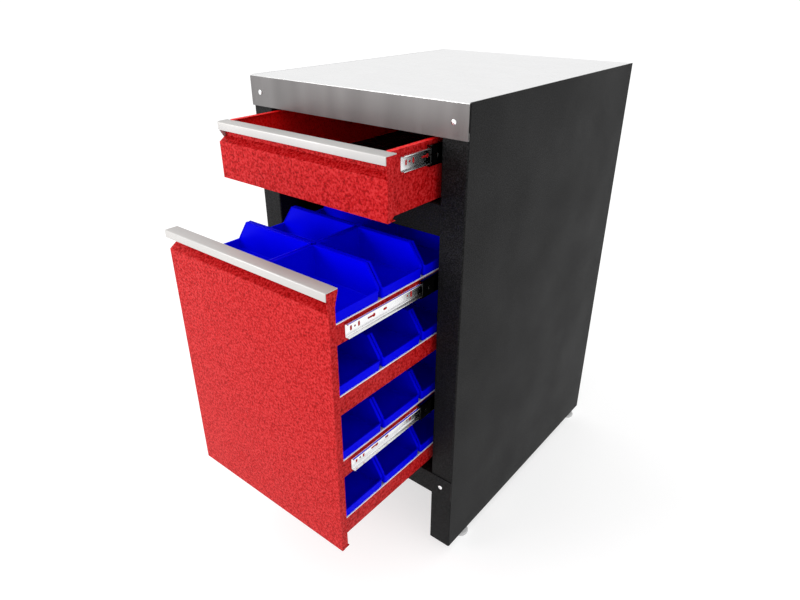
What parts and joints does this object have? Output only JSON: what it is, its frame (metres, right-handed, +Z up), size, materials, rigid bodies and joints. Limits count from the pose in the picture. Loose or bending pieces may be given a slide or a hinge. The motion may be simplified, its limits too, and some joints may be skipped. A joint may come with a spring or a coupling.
{
  "type": "parts bin drawer",
  "caption": "Workshop cabinet with a shallow drawer over a tall pull-out that carries trays of open-fronted parts bins on ball-bearing slides.",
  "frame": {"origin": "centre of the footprint of the whole, on the floor, with the drawer and pull-out as far open as pictured", "axes": "+X to the cabinet's right as seen from the front, +Y to its back, +Z up; the drawers open along -Y"},
  "size_m": [0.5, 0.905, 0.945],
  "materials": {
    "charcoal_paint": "speckled powder coat",
    "red_paint": "hammer-finish powder coat",
    "pale_paint": "satin powder coat",
    "top_steel": "brushed",
    "zinc": "bright zinc plate",
    "aluminium": "satin anodised",
    "board": "sanded",
    "rubber_mat": "ribbed",
    "blue_plastic": "moulded",
    "foot_plastic": "moulded"
  },
  "bodies": {
    "cabinet": {"back_panel": "charcoal_paint", "base_panel": "charcoal_paint", "bottom_front_rail": "charcoal_paint", "bottom_rear_rail": "charcoal_paint", "foot_brackets": "zinc", "foot_nuts": "zinc", "front_screws": "zinc", "left_side_panel": "charcoal_paint", "left_slide_carriers": "charcoal_paint", "pull_out_left_fixed_rails": "zinc", "pull_out_right_fixed_rails": "zinc", "right_side_panel": "charcoal_paint", "right_slide_carriers": "charcoal_paint", "top_drawer_left_fixed_rail": "zinc", "top_drawer_right_fixed_rail": "zinc", "top_front_rail": "charcoal_paint", "top_rear_rail": "charcoal_paint", "worktop_board": "board", "worktop_sheet": "top_steel"},
    "pull_out": {"bin_tray_1": "red_paint", "bin_tray_1_liner": "pale_paint", "bin_tray_2": "red_paint", "bin_tray_2_liner": "pale_paint", "bin_tray_3": "red_paint", "bin_tray_3_liner": "pale_paint", "bin_tray_4": "red_paint", "bin_tray_4_liner": "pale_paint", "left_bins_tray_1": "blue_plastic", "left_bins_tray_2": "blue_plastic", "left_bins_tray_3": "blue_plastic", "left_bins_tray_4": "blue_plastic", "pull_out_front": "red_paint", "pull_out_handle": "aluminium", "pull_out_inner_front": "red_paint", "pull_out_left_sliding_rails": "zinc", "pull_out_rear_panel": "red_paint", "pull_out_right_sliding_rails": "zinc", "right_bins_tray_1": "blue_plastic", "right_bins_tray_2": "blue_plastic", "right_bins_tray_3": "blue_plastic", "right_bins_tray_4": "blue_plastic"},
    "front_left_foot": {"front_left_foot": "foot_plastic"},
    "front_right_foot": {"front_right_foot": "foot_plastic"},
    "pull_out_inner_cages": {"pull_out_inner_ball_cages": "zinc"},
    "pull_out_middle_rails": {"pull_out_left_middle_rails": "zinc", "pull_out_right_middle_rails": "zinc"},
    "pull_out_outer_cages": {"pull_out_outer_ball_cages": "zinc"},
    "rear_left_foot": {"rear_left_foot": "foot_plastic"},
    "rear_right_foot": {"rear_right_foot": "foot_plastic"},
    "lift_out_bin": {"second_right_bin": "blue_plastic"},
    "top_drawer": {"top_drawer_front": "red_paint", "top_drawer_handle": "aluminium", "top_drawer_left_sliding_rail": "zinc", "top_drawer_mat": "rubber_mat", "top_drawer_right_sliding_rail": "zinc", "top_drawer_tray": "red_paint"},
    "top_drawer_inner_cages": {"top_drawer_inner_ball_cages": "zinc"},
    "top_drawer_middle_rails": {"top_drawer_left_middle_rail": "zinc", "top_drawer_right_middle_rail": "zinc"},
    "top_drawer_outer_cages": {"top_drawer_outer_ball_cages": "zinc"}
  },
  "joints": [
    {"name": "top_drawer_slide", "type": "slide", "parent": "cabinet", "child": "top_drawer", "axis": [0, -1, 0], "range_m": [-0.128, 0.372]},
    {"name": "top_drawer_middle_rails_slide", "type": "slide", "parent": "cabinet", "child": "top_drawer_middle_rails", "axis": [0, -1, 0], "range_m": [-0.064, 0.186]},
    {"name": "top_drawer_outer_cages_slide", "type": "slide", "parent": "cabinet", "child": "top_drawer_outer_cages", "axis": [0, -1, 0], "range_m": [-0.032, 0.093]},
    {"name": "top_drawer_inner_cages_slide", "type": "slide", "parent": "cabinet", "child": "top_drawer_inner_cages", "axis": [0, -1, 0], "range_m": [-0.096, 0.279]},
    {"name": "pull_out_slide", "type": "slide", "parent": "cabinet", "child": "pull_out", "axis": [0, -1, 0], "range_m": [-0.26, 0.24]},
    {"name": "pull_out_middle_rails_slide", "type": "slide", "parent": "cabinet", "child": "pull_out_middle_rails", "axis": [0, -1, 0], "range_m": [-0.13, 0.12]},
    {"name": "pull_out_outer_cages_slide", "type": "slide", "parent": "cabinet", "child": "pull_out_outer_cages", "axis": [0, -1, 0], "range_m": [-0.065, 0.06]},
    {"name": "pull_out_inner_cages_slide", "type": "slide", "parent": "cabinet", "child": "pull_out_inner_cages", "axis": [0, -1, 0], "range_m": [-0.195, 0.18]},
    {"name": "bin_lift", "type": "slide", "parent": "pull_out", "child": "lift_out_bin", "axis": [0, 0, 1], "range_m": [0, 0.05]},
    {"name": "front_left_foot_turn", "type": "hinge", "parent": "cabinet", "child": "front_left_foot", "pos_m": [-0.232, -0.1165, 0], "axis": [0, 0, 1], "continuous": true},
    {"name": "front_right_foot_turn", "type": "hinge", "parent": "cabinet", "child": "front_right_foot", "pos_m": [0.232, -0.1165, 0], "axis": [0, 0, 1], "continuous": true},
    {"name": "rear_left_foot_turn", "type": "hinge", "parent": "cabinet", "child": "rear_left_foot", "pos_m": [-0.232, 0.4245, 0], "axis": [0, 0, 1], "continuous": true},
    {"name": "rear_right_foot_turn", "type": "hinge", "parent": "cabinet", "child": "rear_right_foot", "pos_m": [0.232, 0.4245, 0], "axis": [0, 0, 1], "continuous": true}
  ],
  "couplings": [
    {"joint": "top_drawer_middle_rails_slide", "follows": "top_drawer_slide", "ratio": 0.5},
    {"joint": "top_drawer_outer_cages_slide", "follows": "top_drawer_slide", "ratio": 0.25},
    {"joint": "top_drawer_inner_cages_slide", "follows": "top_drawer_slide", "ratio": 0.75},
    {"joint": "pull_out_middle_rails_slide", "follows": "pull_out_slide", "ratio": 0.5},
    {"joint": "pull_out_outer_cages_slide", "follows": "pull_out_slide", "ratio": 0.25},
    {"joint": "pull_out_inner_cages_slide", "follows": "pull_out_slide", "ratio": 0.75}
  ]
}
